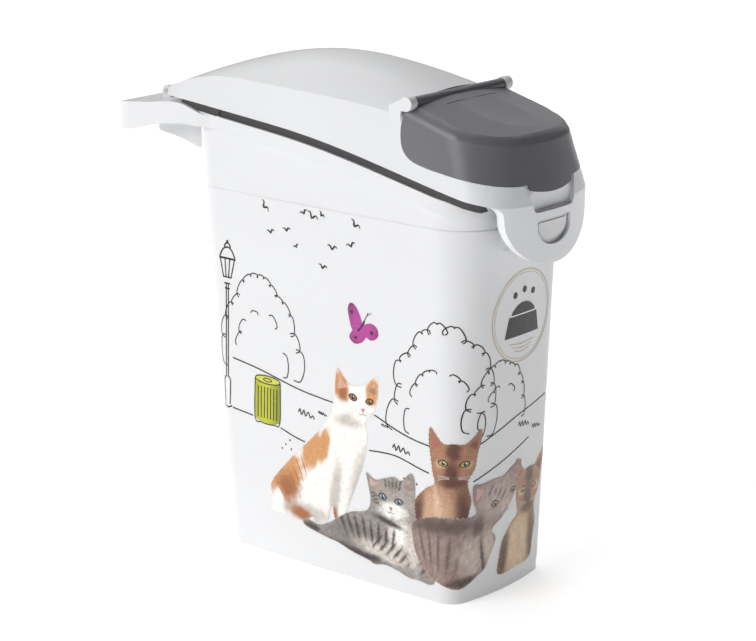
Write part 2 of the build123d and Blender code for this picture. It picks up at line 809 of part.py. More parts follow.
def flap_lip():
    """Lifting lip at the front of the flap."""
    half = lip_half - 1.5
    corner_z = lip_bottom + 3
    with BuildPart() as lip:
        with BuildSketch(Plane.XZ):
            with BuildLine():
                Polyline((-lip_half, lip_top + 4), (lip_half, lip_top + 4), (half, corner_z),
                         (-half, corner_z), close=True)
            make_face()
            with BuildLine():
                ThreePointArc((-half, corner_z), (0, lip_bottom), (half, corner_z))
                Line((half, corner_z), (-half, corner_z))
            make_face()
        extrude(amount=-far_front)
        add(lid_form(flap_wall), mode=Mode.SUBTRACT)
        add(lid_form(0.1), mode=Mode.INTERSECT)
    return lip.part


def knuckle_room():
    """Space that the lid's two end knuckles take from the flap's rear corners."""
    with BuildPart() as room:
        for side in (-1, 1):
            with BuildSketch(Plane.YZ.offset(side * (barrel_half + 0.1))):
                with Locations((flap_axis_y, flap_axis_z)):
                    Circle(knuckle_radius + 0.5)
            extrude(amount=side * 40)
    return room.part


def flap_seal_bar():
    """Rear stretch of the flap's seal, across the width."""
    with BuildPart() as bar:
        with BuildSketch(Plane.XY.offset(300)):
            with Locations((0, flap_seal_rear_y - flap_seal_width / 2)):
                Rectangle(300, flap_seal_width)
        extrude(amount=150)
        add(lid_form(flap_wall + 0.35), mode=Mode.INTERSECT)
        add(flap_roof(flap_wall), mode=Mode.INTERSECT)
        add(flap_roof(flap_wall + flap_seal_height), mode=Mode.SUBTRACT)
    return bar.part


with BuildPart() as flap:
    add(flap_outer())
    add(flap_hollow(), mode=Mode.SUBTRACT)
    add(flap_lip())
    add(knuckle_room(), mode=Mode.SUBTRACT)
    add(flap_axis_rod(barrel_radius, barrel_half))
    add(flap_axis_rod(flap_pin_radius + running_clearance, 100), mode=Mode.SUBTRACT)
flap.part.label = "flap"
export_step(flap.part, "parts/flap.step")


# ------------------------------------------------------------- flap seal
with BuildPart() as flap_seal:
    add(lid_form(flap_wall + 0.3))
    add(lid_form(flap_wall + 0.3 + flap_seal_width), mode=Mode.SUBTRACT)
    add(flap_roof(flap_wall), mode=Mode.INTERSECT)
    add(flap_roof(flap_wall + flap_seal_height), mode=Mode.SUBTRACT)
    with BuildSketch(Plane.XY.offset(300)):
        with Locations((0, flap_seal_rear_y + 100)):
            Rectangle(300, 200)
    extrude(amount=150, mode=Mode.SUBTRACT)
    add(flap_seal_bar())
    add(flap_hollow(), mode=Mode.INTERSECT)
flap_seal.part.label = "flap_seal"
export_step(flap_seal.part, "parts/flap_seal.step")


# ------------------------------------------------------------- hinge pins
with BuildPart() as flap_hinge_pin:
    add(flap_axis_rod(flap_pin_radius, flap_pin_half))
flap_hinge_pin.part.label = "flap_hinge_pin"
export_step(flap_hinge_pin.part, "parts/flap_hinge_pin.step")

for side, name in ((-1, "left"), (1, "right")):
    with BuildPart() as lid_hinge_pin:
        with BuildSketch(Plane.YZ.offset(side * lid_pin_inner)):
            with Locations((lid_axis_y, lid_axis_z)):
                Circle(lid_pin_radius)
        extrude(amount=side * (ear_inner + ear_thickness + pin_proud - lid_pin_inner))
    lid_hinge_pin.part.label = "lid_hinge_pin_" + name
    export_step(lid_hinge_pin.part, "parts/lid_hinge_pin_" + name + ".step")
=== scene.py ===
import math
import random
import bpy
import numpy as np
from mathutils import Matrix, Vector, noise
from mathutils.bvhtree import BVHTree
from mathutils.geometry import delaunay_2d_cdt


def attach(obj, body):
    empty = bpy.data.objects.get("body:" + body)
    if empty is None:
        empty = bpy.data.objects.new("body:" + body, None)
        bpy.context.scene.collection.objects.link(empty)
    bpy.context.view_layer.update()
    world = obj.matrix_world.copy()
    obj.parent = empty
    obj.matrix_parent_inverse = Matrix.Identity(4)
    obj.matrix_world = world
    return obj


# Pet food bin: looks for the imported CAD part, with its printed film drawn as
# thin ink pieces on the film. Metres in Blender; the drawing's places are in mm.
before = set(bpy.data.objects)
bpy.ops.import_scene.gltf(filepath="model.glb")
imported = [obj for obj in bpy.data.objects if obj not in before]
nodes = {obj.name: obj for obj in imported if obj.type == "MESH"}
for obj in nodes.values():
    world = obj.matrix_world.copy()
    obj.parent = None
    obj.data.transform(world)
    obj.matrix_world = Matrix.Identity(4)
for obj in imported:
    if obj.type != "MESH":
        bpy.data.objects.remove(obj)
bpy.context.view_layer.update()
MM = 0.001


# ---------------------------------------------------------------- node materials
class Graph:
    """A material's nodes, with one Principled shader."""

    def __init__(self, name):
        self.material = bpy.data.materials.new(name)
        self.material.use_nodes = True
        self.nodes = self.material.node_tree.nodes
        self.links = self.material.node_tree.links
        self.shader = self.nodes["Principled BSDF"]
        self.place = self.nodes.new("ShaderNodeTexCoord").outputs["Object"]

    def add(self, kind, inputs=None, **settings):
        node = self.nodes.new("ShaderNode" + kind)
        for key, value in settings.items():
            setattr(node, key, value)
        for key, value in (inputs or {}).items():
            if isinstance(value, bpy.types.NodeSocket):
                self.links.new(value, node.inputs[key])
            else:
                node.inputs[key].default_value = value
        return node

    def noise(self, scale, detail=3.0, stretch=(1, 1, 1)):
        spot = self.add("Mapping", {"Vector": self.place, "Scale": stretch}).outputs[0]
        return self.add("TexNoise", {"Vector": spot, "Scale": scale, "Detail": detail}).outputs["Fac"]

    def ramp(self, value, low, high, to_low=0.0, to_high=1.0):
        return self.add("MapRange", {"Value": value, "From Min": low, "From Max": high,
                                     "To Min": to_low, "To Max": to_high}).outputs["Result"]

    def mix(self, share, first, second):
        node = self.add("Mix", data_type="RGBA")
        for socket, value in ((node.inputs[0], share), (node.inputs[6], first), (node.inputs[7], second)):
            if isinstance(value, bpy.types.NodeSocket):
                self.links.new(value, socket)
            elif isinstance(value, tuple):
                socket.default_value = (*value, 1)
            else:
                socket.default_value = value
        return node.outputs[2]

    def set(self, **values):
        for key, value in values.items():
            socket = self.shader.inputs[key.replace("_", " ")]
            if isinstance(value, bpy.types.NodeSocket):
                self.links.new(value, socket)
            else:
                socket.default_value = (*value, 1) if socket.type == "RGBA" else value

    def bump(self, height, depth):
        node = self.add("Bump", {"Height": height, "Distance": depth})
        self.links.new(node.outputs["Normal"], self.shader.inputs["Normal"])


def moulded(name, colour, rough, grain_scale=900.0, grain_depth=0.00002, mottle=0.03):
    """Moulded plastic: fine grain, faint flow marks in tone and gloss, slow waviness."""
    g = Graph(name)
    dark = tuple(c * (1 - mottle) for c in colour)
    flow = g.noise(14.0, 4.0, (1, 0.4, 1))
    g.set(Base_Color=g.mix(g.ramp(flow, 0.35, 0.65), dark, colour))
    g.set(Roughness=g.ramp(g.noise(35.0, 2.0), 0.3, 0.7, rough - 0.03, rough + 0.04))
    g.set(IOR=1.49, Specular_IOR_Level=0.5)
    grain = g.noise(grain_scale, 2.0)
    wave = g.noise(9.0, 1.0)
    height = g.add("Math", {0: grain, 1: g.ramp(wave, 0, 1, 0, 6.0)}, operation="ADD").outputs[0]
    g.bump(height, grain_depth)
    return g


WHITE = (0.755, 0.76, 0.77)
# painted light: a paler white for the latch tongue, to lighten its shaded front
TONGUE_PAINTED_LIGHT = (0.80, 0.81, 0.83)
TONGUE_HIGH, TONGUE_LOW = 0.345, 0.290        # the tongue's painted lighter tone comes in between these heights
TONGUE_REAR, TONGUE_FRONT = -0.105, -0.120    # and between these depths
white_plastic = moulded("white_moulded_plastic", WHITE, 0.34)
grey_plastic = moulded("grey_moulded_plastic", (0.138, 0.140, 0.152), 0.34, 1100.0, 0.00003, 0.06)
# the seals are a grey part; their colour is darkened well below the flap's grey as painted shade under the
# lid's edge
shaded_seal_rubber = moulded("seal_rubber_painted_shade", (0.042, 0.043, 0.046), 0.55, 1500.0, 0.00004, 0.10)
pin_plastic = moulded("pin_plastic", (0.50, 0.51, 0.52), 0.4)
film = moulded("printed_film_ground", WHITE, 0.33, 500.0, 0.000008, 0.015)


def lid_material():
    """Milky plastic with a little subsurface light, and a paler colour painted down the latch tongue as
    painted light over its shaded front.
    """
    g = moulded("milky_lid_plastic_painted_tongue_light", WHITE, 0.33)
    place = g.add("SeparateXYZ", {0: g.place})
    low = g.ramp(place.outputs["Z"], TONGUE_HIGH, TONGUE_LOW)
    front = g.ramp(place.outputs["Y"], TONGUE_REAR, TONGUE_FRONT)
    clear = g.add("Math", {0: low, 1: front}, operation="MULTIPLY").outputs[0]
    white = g.shader.inputs["Base Color"].links[0].from_socket
    # painted light: the tongue's colour is lifted to a paler white where its front is shaded
    g.set(Base_Color=g.mix(clear, white, TONGUE_PAINTED_LIGHT))
    g.set(Subsurface_Weight=0.08, Subsurface_Radius=(0.006, 0.005, 0.004), Subsurface_Scale=1.0)
    return g


milky_lid_painted_light = lid_material()

CAD_FINISH = {"bin_body": white_plastic, "label_wrap": film, "lid": milky_lid_painted_light, "lid_seal": shaded_seal_rubber,
              "flap": grey_plastic, "flap_seal": shaded_seal_rubber, "flap_hinge_pin": pin_plastic,
              "lid_hinge_pin_left": pin_plastic, "lid_hinge_pin_right": pin_plastic}
for node_name, finish in CAD_FINISH.items():
    mesh = nodes[node_name].data
    mesh.materials.clear()
    mesh.materials.append(finish.material)


# ---------------------------------------------------------------- the printed film
def tone(red, green, blue):
    """Ink colour from the usual 0 to 255 scale, made linear."""
    return tuple((c / 255) ** 2.2 for c in (red, green, blue))


BLACK = tone(28, 28, 30)
FILM_LIFT = 0.16            # ink above the film, mm
LEVEL_LIFT = 0.045          # each further layer of ink
film_mesh = nodes["label_wrap"].data
FILM_TREE = BVHTree.FromPolygons([v.co.copy() for v in film_mesh.vertices],
                                 [tuple(p.vertices) for p in film_mesh.polygons])


# The bin's plan in mm, at its base and at its top: corner radius, front and half width.
BIN_TOP = 352.0
BASE_PLAN, TOP_PLAN = Vector((16.0, 101.5, 56.5)), Vector((41.0, 119.3, 64.4))
RAY_START = 150.0


def on_film(u, z, lift, side):
    """Point over the film: u mm round it from a front corner (rear side negative), z mm up."""
    radius, front, half = BASE_PLAN.lerp(TOP_PLAN, z / BIN_TOP)
    arc = radius * math.pi / 4
    turn = math.pi / 4 * (1 + max(-1.0, min(1.0, u / arc)))
    outward = Vector((-math.cos(turn), -math.sin(turn), 0))
    centre = Vector((radius - half + max(0.0, u - arc), radius - front + max(0.0, -u - arc), z))
    start = (centre + outward * RAY_START) * MM
    start.x *= -side
    outward.x *= -side
    spot, normal = FILM_TREE.ray_cast(start, -outward)[:2]
    if spot is None:
        raise ValueError(f"ink beyond the film at {u:.0f}, {z:.0f}")
    return spot + normal * lift * MM


def circle(u, z, radius, count, tall=1.0):
    """Even points round a circle, or round an ellipse."""
    angles = [math.tau * k / count for k in range(count)]
    return [(u + radius * math.cos(a), z + tall * radius * math.sin(a)) for a in angles]


def smooth(points, closed=False, step=1.6):
    """Even points along a smooth curve through the given ones."""
    count = len(points)
    last = count if closed else count - 1
    line = []
    for i in range(last):
        p = [Vector(points[(i + k) % count] if closed else points[max(0, min(count - 1, i + k))])
             for k in (-1, 0, 1, 2)]
        parts = max(1, round((p[2] - p[1]).length / step))
        for k in range(parts):
            t = k / parts
            line.append(0.5 * (2 * p[1] + (p[2] - p[0]) * t + (2 * p[0] - 5 * p[1] + 4 * p[2] - p[3]) * t * t
                               + (3 * p[1] - p[0] - 3 * p[2] + p[3]) * t ** 3))
    return line if closed else line + [Vector(points[-1])]


def inside(u, z, border):
    """True if a point is within a closed line."""
    odd = False
    for a, b in zip(border, border[1:] + border[:1]):
        if (a.y > z) != (b.y > z) and u < a.x + (z - a.y) * (b.x - a.x) / (b.y - a.y):
            odd = not odd
    return odd


class Ink:
    """One printed piece: strokes and filled shapes laid on the film, each point with its colour."""

    def __init__(self, name, side=-1, pen=1.0):
        self.pen = pen
        self.name, self.side = name, side
        self.spots, self.colours, self.faces = [], [], []

    def net(self, points, faces, colours, level):
        start = len(self.spots)
        lift = FILM_LIFT + LEVEL_LIFT * level
        self.spots += [on_film(p[0], p[1], lift, self.side) for p in points]
        self.colours += colours
        for face in faces:
            turned = face if self.side < 0 else face[::-1]
            self.faces.append([start + i for i in turned])

    def stroke(self, points, width, colour=BLACK, level=0, closed=False, thin_ends=False):
        line = smooth(points, closed)
        count = len(line)
        sides = []
        for i, p in enumerate(line):
            ahead = line[(i + 1) % count] if closed else line[min(count - 1, i + 1)]
            behind = line[i - 1] if closed or i else line[0]
            along = (ahead - behind).normalized()
            half = width * self.pen / 2
            if thin_ends:
                half *= 0.25 + 0.75 * math.sin(math.pi * i / (count - 1))
            across = Vector((-along.y, along.x)) * half
            sides += [p + across, p - across]
        last = count if closed else count - 1
        quads = [[2 * i, 2 * i + 1, (2 * i + 3) % len(sides), (2 * i + 2) % len(sides)] for i in range(last)]
        self.net(sides, quads, [colour] * len(sides), level)

    def fill(self, outline, paint, level=0, step=2.0, rounded=True):
        border = smooth(outline, True) if rounded else smooth(dense(outline), True)
        points = list(border)
        low_u, high_u = min(p.x for p in border), max(p.x for p in border)
        low_z, high_z = min(p.y for p in border), max(p.y for p in border)
        row = 0
        z = low_z + step / 2
        while z < high_z:
            u = low_u + step * (0.5 + 0.5 * (row % 2))
            while u < high_u:
                spot = Vector((u, z))
                if inside(u, z, border) and min((p - spot).length_squared for p in border) > step * step / 4:
                    points.append(spot)
                u += step
            z += step * 0.87
            row += 1
        ring = list(range(len(border)))
        found = delaunay_2d_cdt(points, [], [ring], 1, 1e-5)
        colours = paint(found[0]) if callable(paint) else [paint] * len(found[0])
        faces = [list(face) for face in found[2]]
        for face in faces:
            a, b, c = (found[0][i] for i in face[:3])
            if (b - a).cross(c - a) < 0:
                face.reverse()
        self.net(found[0], faces, colours, level)

    def dot(self, u, z, radius, colour=BLACK, level=0, tall=1.0):
        count = 12
        fan = [[0, 1 + k, 1 + (k + 1) % count] for k in range(count)]
        self.net([(u, z)] + circle(u, z, radius, count, tall), fan, [colour] * (count + 1), level)

    def build(self):
        mesh = bpy.data.meshes.new(self.name)
        mesh.from_pydata(self.spots, [], self.faces)
        layer = mesh.color_attributes.new("ink", "FLOAT_COLOR", "POINT")
        for item, colour in zip(layer.data, self.colours):
            item.color = (*colour, 1)
        mesh.materials.append(ink_finish.material)
        mesh.shade_smooth()
        piece = bpy.data.objects.new(self.name, mesh)
        bpy.context.scene.collection.objects.link(piece)
        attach(piece, "bin")


def dense(outline):
    """The outline with each straight run cut into short ones, so that its corners stay sharp."""
    points = []
    for a, b in zip(outline, outline[1:] + outline[:1]):
        a, b = Vector(a), Vector(b)
        points += [a.lerp(b, share) for share in (0.0, 0.06, 0.5, 0.94)]
    return points


def ink_material():
    """Printing ink with a soft gloss and a faint uneven tone."""
    g = Graph("print_ink")
    drawn = g.add("VertexColor", layer_name="ink").outputs["Color"]
    pale = g.mix(g.ramp(g.noise(420.0, 3.0), 0.35, 0.65, 0.0, 0.012), drawn, (0.62, 0.62, 0.64))
    g.set(Base_Color=pale)
    g.set(Roughness=g.ramp(g.noise(60.0, 5.0), 0.3, 0.7, 0.22, 0.32))
    g.set(IOR=1.49)
    g.bump(g.noise(500.0, 2.0), 0.000008)
    return g


ink_finish = ink_material()


# ---- park scene in outline
def bird(ink, u, z, size, tilt):
    turn = Matrix.Rotation(math.radians(tilt), 2)
    wings = [(-1, 0.35), (-0.5, 0.45), (0, -0.1), (0.45, 0.5), (1, 0.25)]
    ink.stroke([Vector((u, z)) + turn @ Vector(p) * size / 2 for p in wings], 1.3, thin_ends=True)


def scallops(ink, line, bulge, chance, rng, width=0.7):
    """A leafy outline: small outward arcs from point to point along a line."""
    for a, b in zip(line, line[1:]):
        if rng.random() > chance:
            continue
        a, b = Vector(a), Vector(b)
        out = Vector((a.y - b.y, b.x - a.x)) * bulge * rng.uniform(0.7, 1.2)
        hook = (b - a) * 0.12
        ink.stroke([a - hook, a + out * 0.75, a.lerp(b, 0.5) + out, b + out * 0.7, b + hook * 0.3], width)


def bush(ink, u, base, half, height, seed, count=15):
    """A round tree in leafy outline with a broken second outline inside it."""
    rng = random.Random(seed)
    for share, chance, number in ((1.0, 1.0, count), (0.68, 0.55, count - 4)):
        line = []
        for k in range(number + 1):
            angle = math.pi * (1 - k / number)
            reach = share * rng.uniform(0.94, 1.06)
            line.append((u + half * reach * math.cos(angle) * (1 - 0.18 * math.sin(angle) ** 4),
                         base + height * reach * math.sin(angle) ** 0.8 * (1.0 if share == 1.0 else 0.92)))
        scallops(ink, line, 0.42, chance, rng)


def tuft(ink, u, z, size):
    blades = [(-1, 0.1), (-0.8, 0.5), (-0.6, -0.1), (-0.3, 0.45), (-0.1, -0.15), (0.25, 0.35), (0.5, -0.2),
              (0.8, 0.1), (1, -0.25)]
    ink.stroke([(u + size * a, z + size * b) for a, b in blades], 0.8)


def street_lamp(ink, u, foot, top):
    """Lantern on a tall post."""
    glass = top - 22
    ink.stroke([(u - 1.1, foot + 24), (u - 1.1, glass - 12)], 0.8)
    ink.stroke([(u + 1.1, foot + 24), (u + 1.1, glass - 12)], 0.8)
    ink.stroke([(u - 1.2, foot + 24), (u - 3.4, foot + 22), (u - 3.0, foot + 2)], 0.8)
    ink.stroke([(u + 1.2, foot + 24), (u + 3.4, foot + 22), (u + 3.0, foot + 2)], 0.8)
    ink.stroke([(u - 5, foot + 1), (u, foot - 1), (u + 5, foot + 1)], 0.9)
    for half, z in ((3.2, glass - 12), (4.6, glass - 7), (2.6, glass - 16)):
        ink.stroke([(u - half, z), (u + half, z)], 0.9)
    for share in (-1, -0.33, 0.33, 1):
        ink.stroke([(u + 4.0 * share, glass - 7), (u + 7.6 * share, glass + 8)], 0.8)
    ink.stroke([(u - 8.6, glass + 8), (u + 8.6, glass + 8)], 1.2)
    ink.stroke([(u - 8.0, glass + 9), (u - 4.5, glass + 15), (u, glass + 17), (u + 4.5, glass + 15),
                (u + 8.0, glass + 9)], 1.0)
    ink.stroke([(u - 3.4, glass + 17), (u - 1.5, glass + 20), (u + 1.5, glass + 20), (u + 3.4, glass + 17)],
               1.0)
    ink.dot(u, glass + 21.5, 1.3)


def waste_bin(ink, u, base, half, height):
    """Ribbed park bin in yellow green."""
    green, shade = tone(186, 190, 40), tone(140, 146, 24)
    dip = 3.2

    def paint(points):
        return [tuple(a + (b - a) * min(1.0, abs(p.x - u + 3) / half) ** 2 for a, b in zip(green, shade))
                for p in points]
    rim = base + height
    body = [(u - half, rim), (u - half, base + dip), (u - half * 0.5, base + 0.6), (u, base),
            (u + half * 0.5, base + 0.6), (u + half, base + dip), (u + half, rim)]
    ink.fill(body, paint, 0, 2.0, rounded=False)
    top = circle(u, rim, half, 14, dip / half)
    ink.fill(top, tone(200, 204, 70), 1)
    ink.stroke(top, 0.9, level=2, closed=True)
    ink.stroke(circle(u, rim, 4.5, 10, 1.3 / 4.5), 0.8, level=2, closed=True)
    ink.stroke(body, 0.9, level=2)
    for k in range(7):
        rib = u + half * (-0.75 + 0.25 * k)
        ink.stroke([(rib, rim - 6), (rib, base + 4.5)], 0.9, level=2)


def butterfly(ink, u, z):
    """Moth-like butterfly with three rounded wings in view."""
    wing, dark = tone(176, 62, 146), tone(70, 22, 66)

    def paint(points):
        shares = [min(1.0, ((p - Vector((u, z))).length / 22) ** 3) for p in points]
        return [tuple(a + (b - a) * share for a, b in zip(wing, dark)) for share in shares]
    upper = [(0, 1), (-5, 12), (-11, 16), (-14, 11), (-12, 2), (-9, -5), (-3, -4)]
    lower = [(0, 0), (8, 3), (14, 0), (15, -6), (9, -10), (2, -7), (-3, -3)]
    hind = [(-3, -3), (-9, -5), (-12, -11), (-7, -15), (0, -13), (4, -7)]
    for level, shape in ((0, hind), (1, upper), (2, lower)):
        ink.fill([(u + a, z + b) for a, b in shape], paint, level)
    ink.stroke([(u - 4, z - 5), (u, z), (u + 2, z + 4)], 1.6, dark, 3)
    for a, b, size in ((-10, 9, 1.6), (9, -4, 1.6), (-6, -10, 1.3)):
        ink.dot(u + a, z + b, size, dark, 3)
    for bend in (1.5, 4.5):
        ink.stroke([(u + 2, z + 4), (u + 4, z + 8), (u + 4 + bend, z + 11)], 0.5, dark, 3)


def bowl_badge(ink, u, z, radius):
    """Plain ring round a food bowl with three pieces of food over it."""
    gold = tone(196, 178, 142)
    for size, width in ((radius, 0.9), (radius - 2.2, 0.5)):
        ink.stroke(circle(u, z, size, 24), width, gold, closed=True)
    bowl = [(u - 17, z + 1), (u + 17, z + 1), (u + 21, z - 15), (u - 21, z - 15)]
    food = [(u - 14, z + 2), (u, z - 0.5), (u + 14, z + 2), (u + 9, z + 8), (u, z + 10.5), (u - 9, z + 8)]
    ink.fill(bowl, BLACK, 0, rounded=False)
    ink.fill(food, BLACK, 1)
    ink.stroke([(u - 17, z + 1.5), (u + 17, z + 1.5)], 0.9, tone(235, 236, 238), 2)
    for a, b in ((-11, 17), (0, 20), (11, 17)):
        ink.dot(u + a, z + b, 2.6, BLACK)
    for k in range(3):
        drop = z - 20 - 3 * k
        ink.stroke([(u - 15 + 3 * k, drop), (u, drop - 1.5), (u + 15 - 3 * k, drop)], 0.6, gold)


# ---- animals in fur
def fur(base, dabs, lie=70.0, grain=0.16, seed=1):
    """Paints fur: soft patches (u, z, half length, half width, tilt, colour, softness) over a base colour,
    then fine strands that lie at an angle."""
    def paint(points):
        at = np.array([tuple(p) for p in points])
        colours = np.tile(np.array(base, float), (len(at), 1))
        rough = np.array([noise.noise(Vector((p[0] * 0.22, p[1] * 0.22, seed))) for p in at])
        for u, z, long, wide, tilt, colour, soft in dabs:
            c, s = math.cos(math.radians(tilt)), math.sin(math.radians(tilt))
            du, dz = at[:, 0] - u, at[:, 1] - z
            reach = np.hypot((du * c + dz * s) / long, (dz * c - du * s) / wide) + 0.22 * rough
            share = np.clip((1.0 + soft / 2 - reach) / soft, 0, 1)
            share = (share * share * (3 - 2 * share))[:, None]
            colours += (np.array(colour) - colours) * share
        c, s = math.cos(math.radians(lie)), math.sin(math.radians(lie))
        along, across = (at[:, 0] * c + at[:, 1] * s) * 0.16, (at[:, 1] * c - at[:, 0] * s) * 0.9
        strand = np.array([noise.noise(Vector((a, b, seed + 7))) for a, b in zip(along, across)])
        colours *= (1 + grain * 2 * strand)[:, None]
        return [tuple(row) for row in np.clip(colours, 0, 1)]
    return paint


def eye(ink, u, z, size, iris, level, tilt=0.0):
    """Almond eye with a dark rim, pupil and highlight."""
    turn = Matrix.Rotation(math.radians(tilt), 2)
    shape = [(-1.25, 0.0), (-0.6, 0.75), (0.3, 0.85), (1.2, 0.25), (0.7, -0.6), (-0.4, -0.7)]
    for grow, colour in ((1.35, tone(40, 30, 26)), (1.0, iris)):
        ink.fill([Vector((u, z)) + turn @ Vector(p) * size * grow for p in shape], colour, level, 1.2)
        level += 1
    ink.dot(u + 0.1 * size, z, 0.52 * size, tone(18, 16, 18), level, 1.25)
    ink.dot(u + 0.3 * size, z + 0.32 * size, 0.2 * size, tone(250, 250, 250), level + 1)


def muzzle(ink, u, z, size, nose_tone, level):
    """Nose, mouth and whiskers."""
    ink.fill([(u - size, z + 0.7 * size), (u + size, z + 0.7 * size), (u + 0.15 * size, z - 0.5 * size),
              (u - 0.15 * size, z - 0.5 * size)], nose_tone, level, 1.0)
    line, whisker = tone(96, 70, 62), tone(226, 222, 216)
    ink.stroke([(u, z - 0.5 * size), (u, z - 1.3 * size)], 0.45, line, level)
    for way in (-1, 1):
        ink.stroke([(u, z - 1.3 * size), (u + way * 0.8 * size, z - 1.9 * size),
                    (u + way * 1.9 * size, z - 1.6 * size)], 0.45, line, level)
        for k in range(3):
            ink.stroke([(u + way * 1.6 * size, z - (0.6 + 0.35 * k) * size),
                        (u + way * 4.0 * size, z - (0.2 + 0.6 * k) * size),
                        (u + way * 6.2 * size, z - (0.4 + 1.0 * k) * size)], 0.28, whisker, level + 1)


def ear(ink, tip, left, right, inner, level):
    """Inner ear: a smaller triangle of bare skin with a dark fold."""
    tip, left, right = Vector(tip), Vector(left), Vector(right)
    middle = (tip + left + right) / 3
    ring = (tip, tip.lerp(left, 0.5), left, left.lerp(right, 0.5), right, right.lerp(tip, 0.5))
    fold = (middle.x, left.y, 4, 3, 0, tuple(c * 0.55 for c in inner), 0.9)
    ink.fill([p.lerp(middle, 0.30) for p in ring], fur(inner, [fold], 90, 0.1), level, 1.5)


def edge_fur(ink, outline, colour, level, seed, length=2.4, every=2):
    """Short hairs that break up an animal's outline."""
    rng = random.Random(seed)
    line = smooth(outline, True)
    for i in range(0, len(line), every):
        a, b = line[i], line[(i + 1) % len(line)]
        along = (b - a).normalized()
        out = Vector((along.y, -along.x))
        tip = a + out * rng.uniform(0.3, 0.7) * length + along * rng.uniform(0.2, 0.9) * length
        width = rng.uniform(0.5, 0.9)
        ink.stroke([a - out * 0.8, a.lerp(tip, 0.5), tip], width, colour, level, thin_ends=True)


WHITE_FUR, SHADE_FUR = tone(243, 240, 235), tone(196, 188, 180)
ORANGE, DEEP_ORANGE = tone(205, 146, 92), tone(160, 98, 52)
TABBY, TABBY_DARK, TABBY_PALE = tone(142, 134, 128), tone(62, 56, 54), tone(206, 198, 190)
BROWN, BROWN_DARK, BROWN_PALE = tone(156, 112, 84), tone(92, 54, 40), tone(196, 156, 126)
MAUVE, MAUVE_DARK, MAUVE_PALE = tone(146, 124, 116), tone(88, 70, 66), tone(196, 178, 168)
SKIN = tone(214, 160, 142)
TAN_COAT = (tone(178, 140, 100), tone(96, 70, 50), tone(216, 188, 152))


class Placer:
    """Puts an animal's own drawing sizes at a place on the film, scaled and turned to face a side."""

    def __init__(self, u, z, scale, flip):
        self.u, self.z, self.scale, self.flip = u, z, scale, flip

    def spot(self, a, b):
        return (self.u + self.flip * self.scale * a, self.z + self.scale * b)

    def line(self, points):
        return [self.spot(a, b) for a, b in points]

    def dab(self, a, b, long, wide, tilt, colour, soft):
        return (*self.spot(a, b), long * self.scale, wide * self.scale, tilt * self.flip, colour, soft)


def sitting_cat(name, u, z, scale=1.0, flip=1, side=-1):
    """White cat with orange patches that sits upright and looks to the front."""
    ink = Ink(name, side)
    place = Placer(u, z, scale, flip)
    spot, dab = place.spot, place.dab
    outline = place.line([(20, 131), (27, 124), (33, 120), (43, 121), (49, 124), (56, 130), (59, 128),
                          (59, 118), (58, 110), (55, 102), (48, 94), (50, 84), (49, 70), (45, 55),
                          (38, 36), (33, 22), (27, 10), (20, 10), (17, 20), (13, 6), (8, 2), (0, 2),
                          (-2, 6), (-12, 0), (-22, 0), (-30, 2), (-43, 1), (-46, 7), (-43, 13),
                          (-46, 20), (-43, 28), (-33, 40), (-20, 54), (-4, 70), (8, 84), (15, 96),
                          (18, 108), (18, 118)])
    paint = fur(WHITE_FUR, [
        dab(44, 40, 9, 34, -12, SHADE_FUR, 1.1), dab(20, 30, 5, 26, -6, SHADE_FUR, 1.0),
        dab(34, 92, 14, 5, 10, SHADE_FUR, 1.2), dab(-10, 8, 26, 7, 0, SHADE_FUR, 1.0),
        dab(-32, 34, 17, 22, -34, ORANGE, 0.55), dab(-28, 24, 11, 12, -30, DEEP_ORANGE, 1.3),
        dab(-4, 60, 9, 17, -20, ORANGE, 0.5), dab(8, 66, 5, 15, -12, ORANGE, 0.5),
        dab(-14, 6, 12, 5, -10, DEEP_ORANGE, 0.9), dab(20, 12, 3, 7, 0, DEEP_ORANGE, 1.0),
        dab(-38, 12, 6, 9, 0, WHITE_FUR, 0.8),
        dab(23, 118, 7.5, 12, 12, ORANGE, 0.45), dab(54, 118, 6.0, 11, -8, ORANGE, 0.5),
        dab(26, 112, 5, 6, 0, DEEP_ORANGE, 1.1), dab(38, 114, 5.5, 13, 6, WHITE_FUR, 0.6),
        dab(43, 100, 11, 8, 0, WHITE_FUR, 0.7)], lie=78 * flip, grain=0.10, seed=3)
    ink.fill(outline, paint, 0, 1.7)
    edge_fur(ink, outline, tone(236, 230, 222), 0, 11, 2.0 * scale)
    for k in range(7):
        tuft_line = [(-40 + 4 * k, 24 + 5 * k), (-35 + 4 * k, 20 + 4 * k), (-30 + 3.6 * k, 12 + 4 * k)]
        ink.stroke(place.line(tuft_line), 0.8, DEEP_ORANGE, 1, thin_ends=True)
    ear(ink, spot(21, 129), spot(20, 112), spot(31, 117), SKIN, 1)
    ear(ink, spot(57, 128), spot(48, 119), spot(58, 113), SKIN, 1)
    eye(ink, *spot(35.5, 110.5), 2.7 * scale, tone(150, 104, 52), 1, -14 * flip)
    eye(ink, *spot(51.5, 110.0), 2.5 * scale, tone(150, 104, 52), 1, 14 * flip)
    muzzle(ink, *spot(45.5, 102.0), 2.0 * scale, tone(222, 118, 120), 2)
    ink.build()


